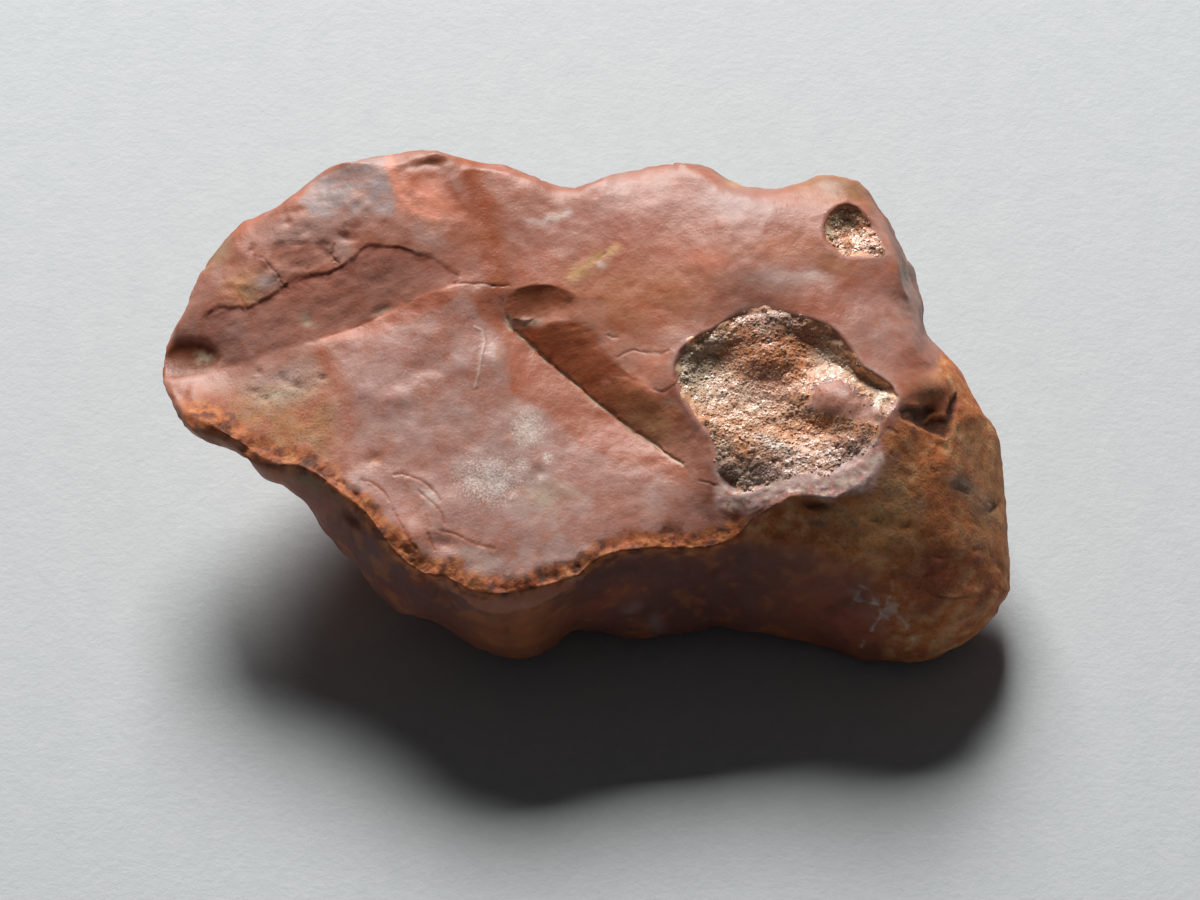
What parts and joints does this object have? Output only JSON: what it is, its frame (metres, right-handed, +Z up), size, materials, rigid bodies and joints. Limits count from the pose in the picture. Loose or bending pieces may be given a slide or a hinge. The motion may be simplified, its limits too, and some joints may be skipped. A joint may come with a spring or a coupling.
{
  "type": "jasper stone",
  "caption": "Rough chunk of red jasper with conchoidal scars and quartz-lined hollows, resting on a worn flat spot.",
  "frame": {"origin": "middle of the bounding box's underside, on the plane that the stone rests on", "axes": "+X along the stone towards the lobe with the large hollow, +Y towards the back, +Z up"},
  "size_m": [0.0852, 0.0494, 0.0306],
  "materials": {
    "jasper": "matt, waxy on fresh scars",
    "druse": "sugary, glittering"
  },
  "bodies": {
    "root": {"jasper_stone": "jasper", "quartz_crust_large": "druse", "quartz_crust_small": "druse"}
  },
  "joints": []
}
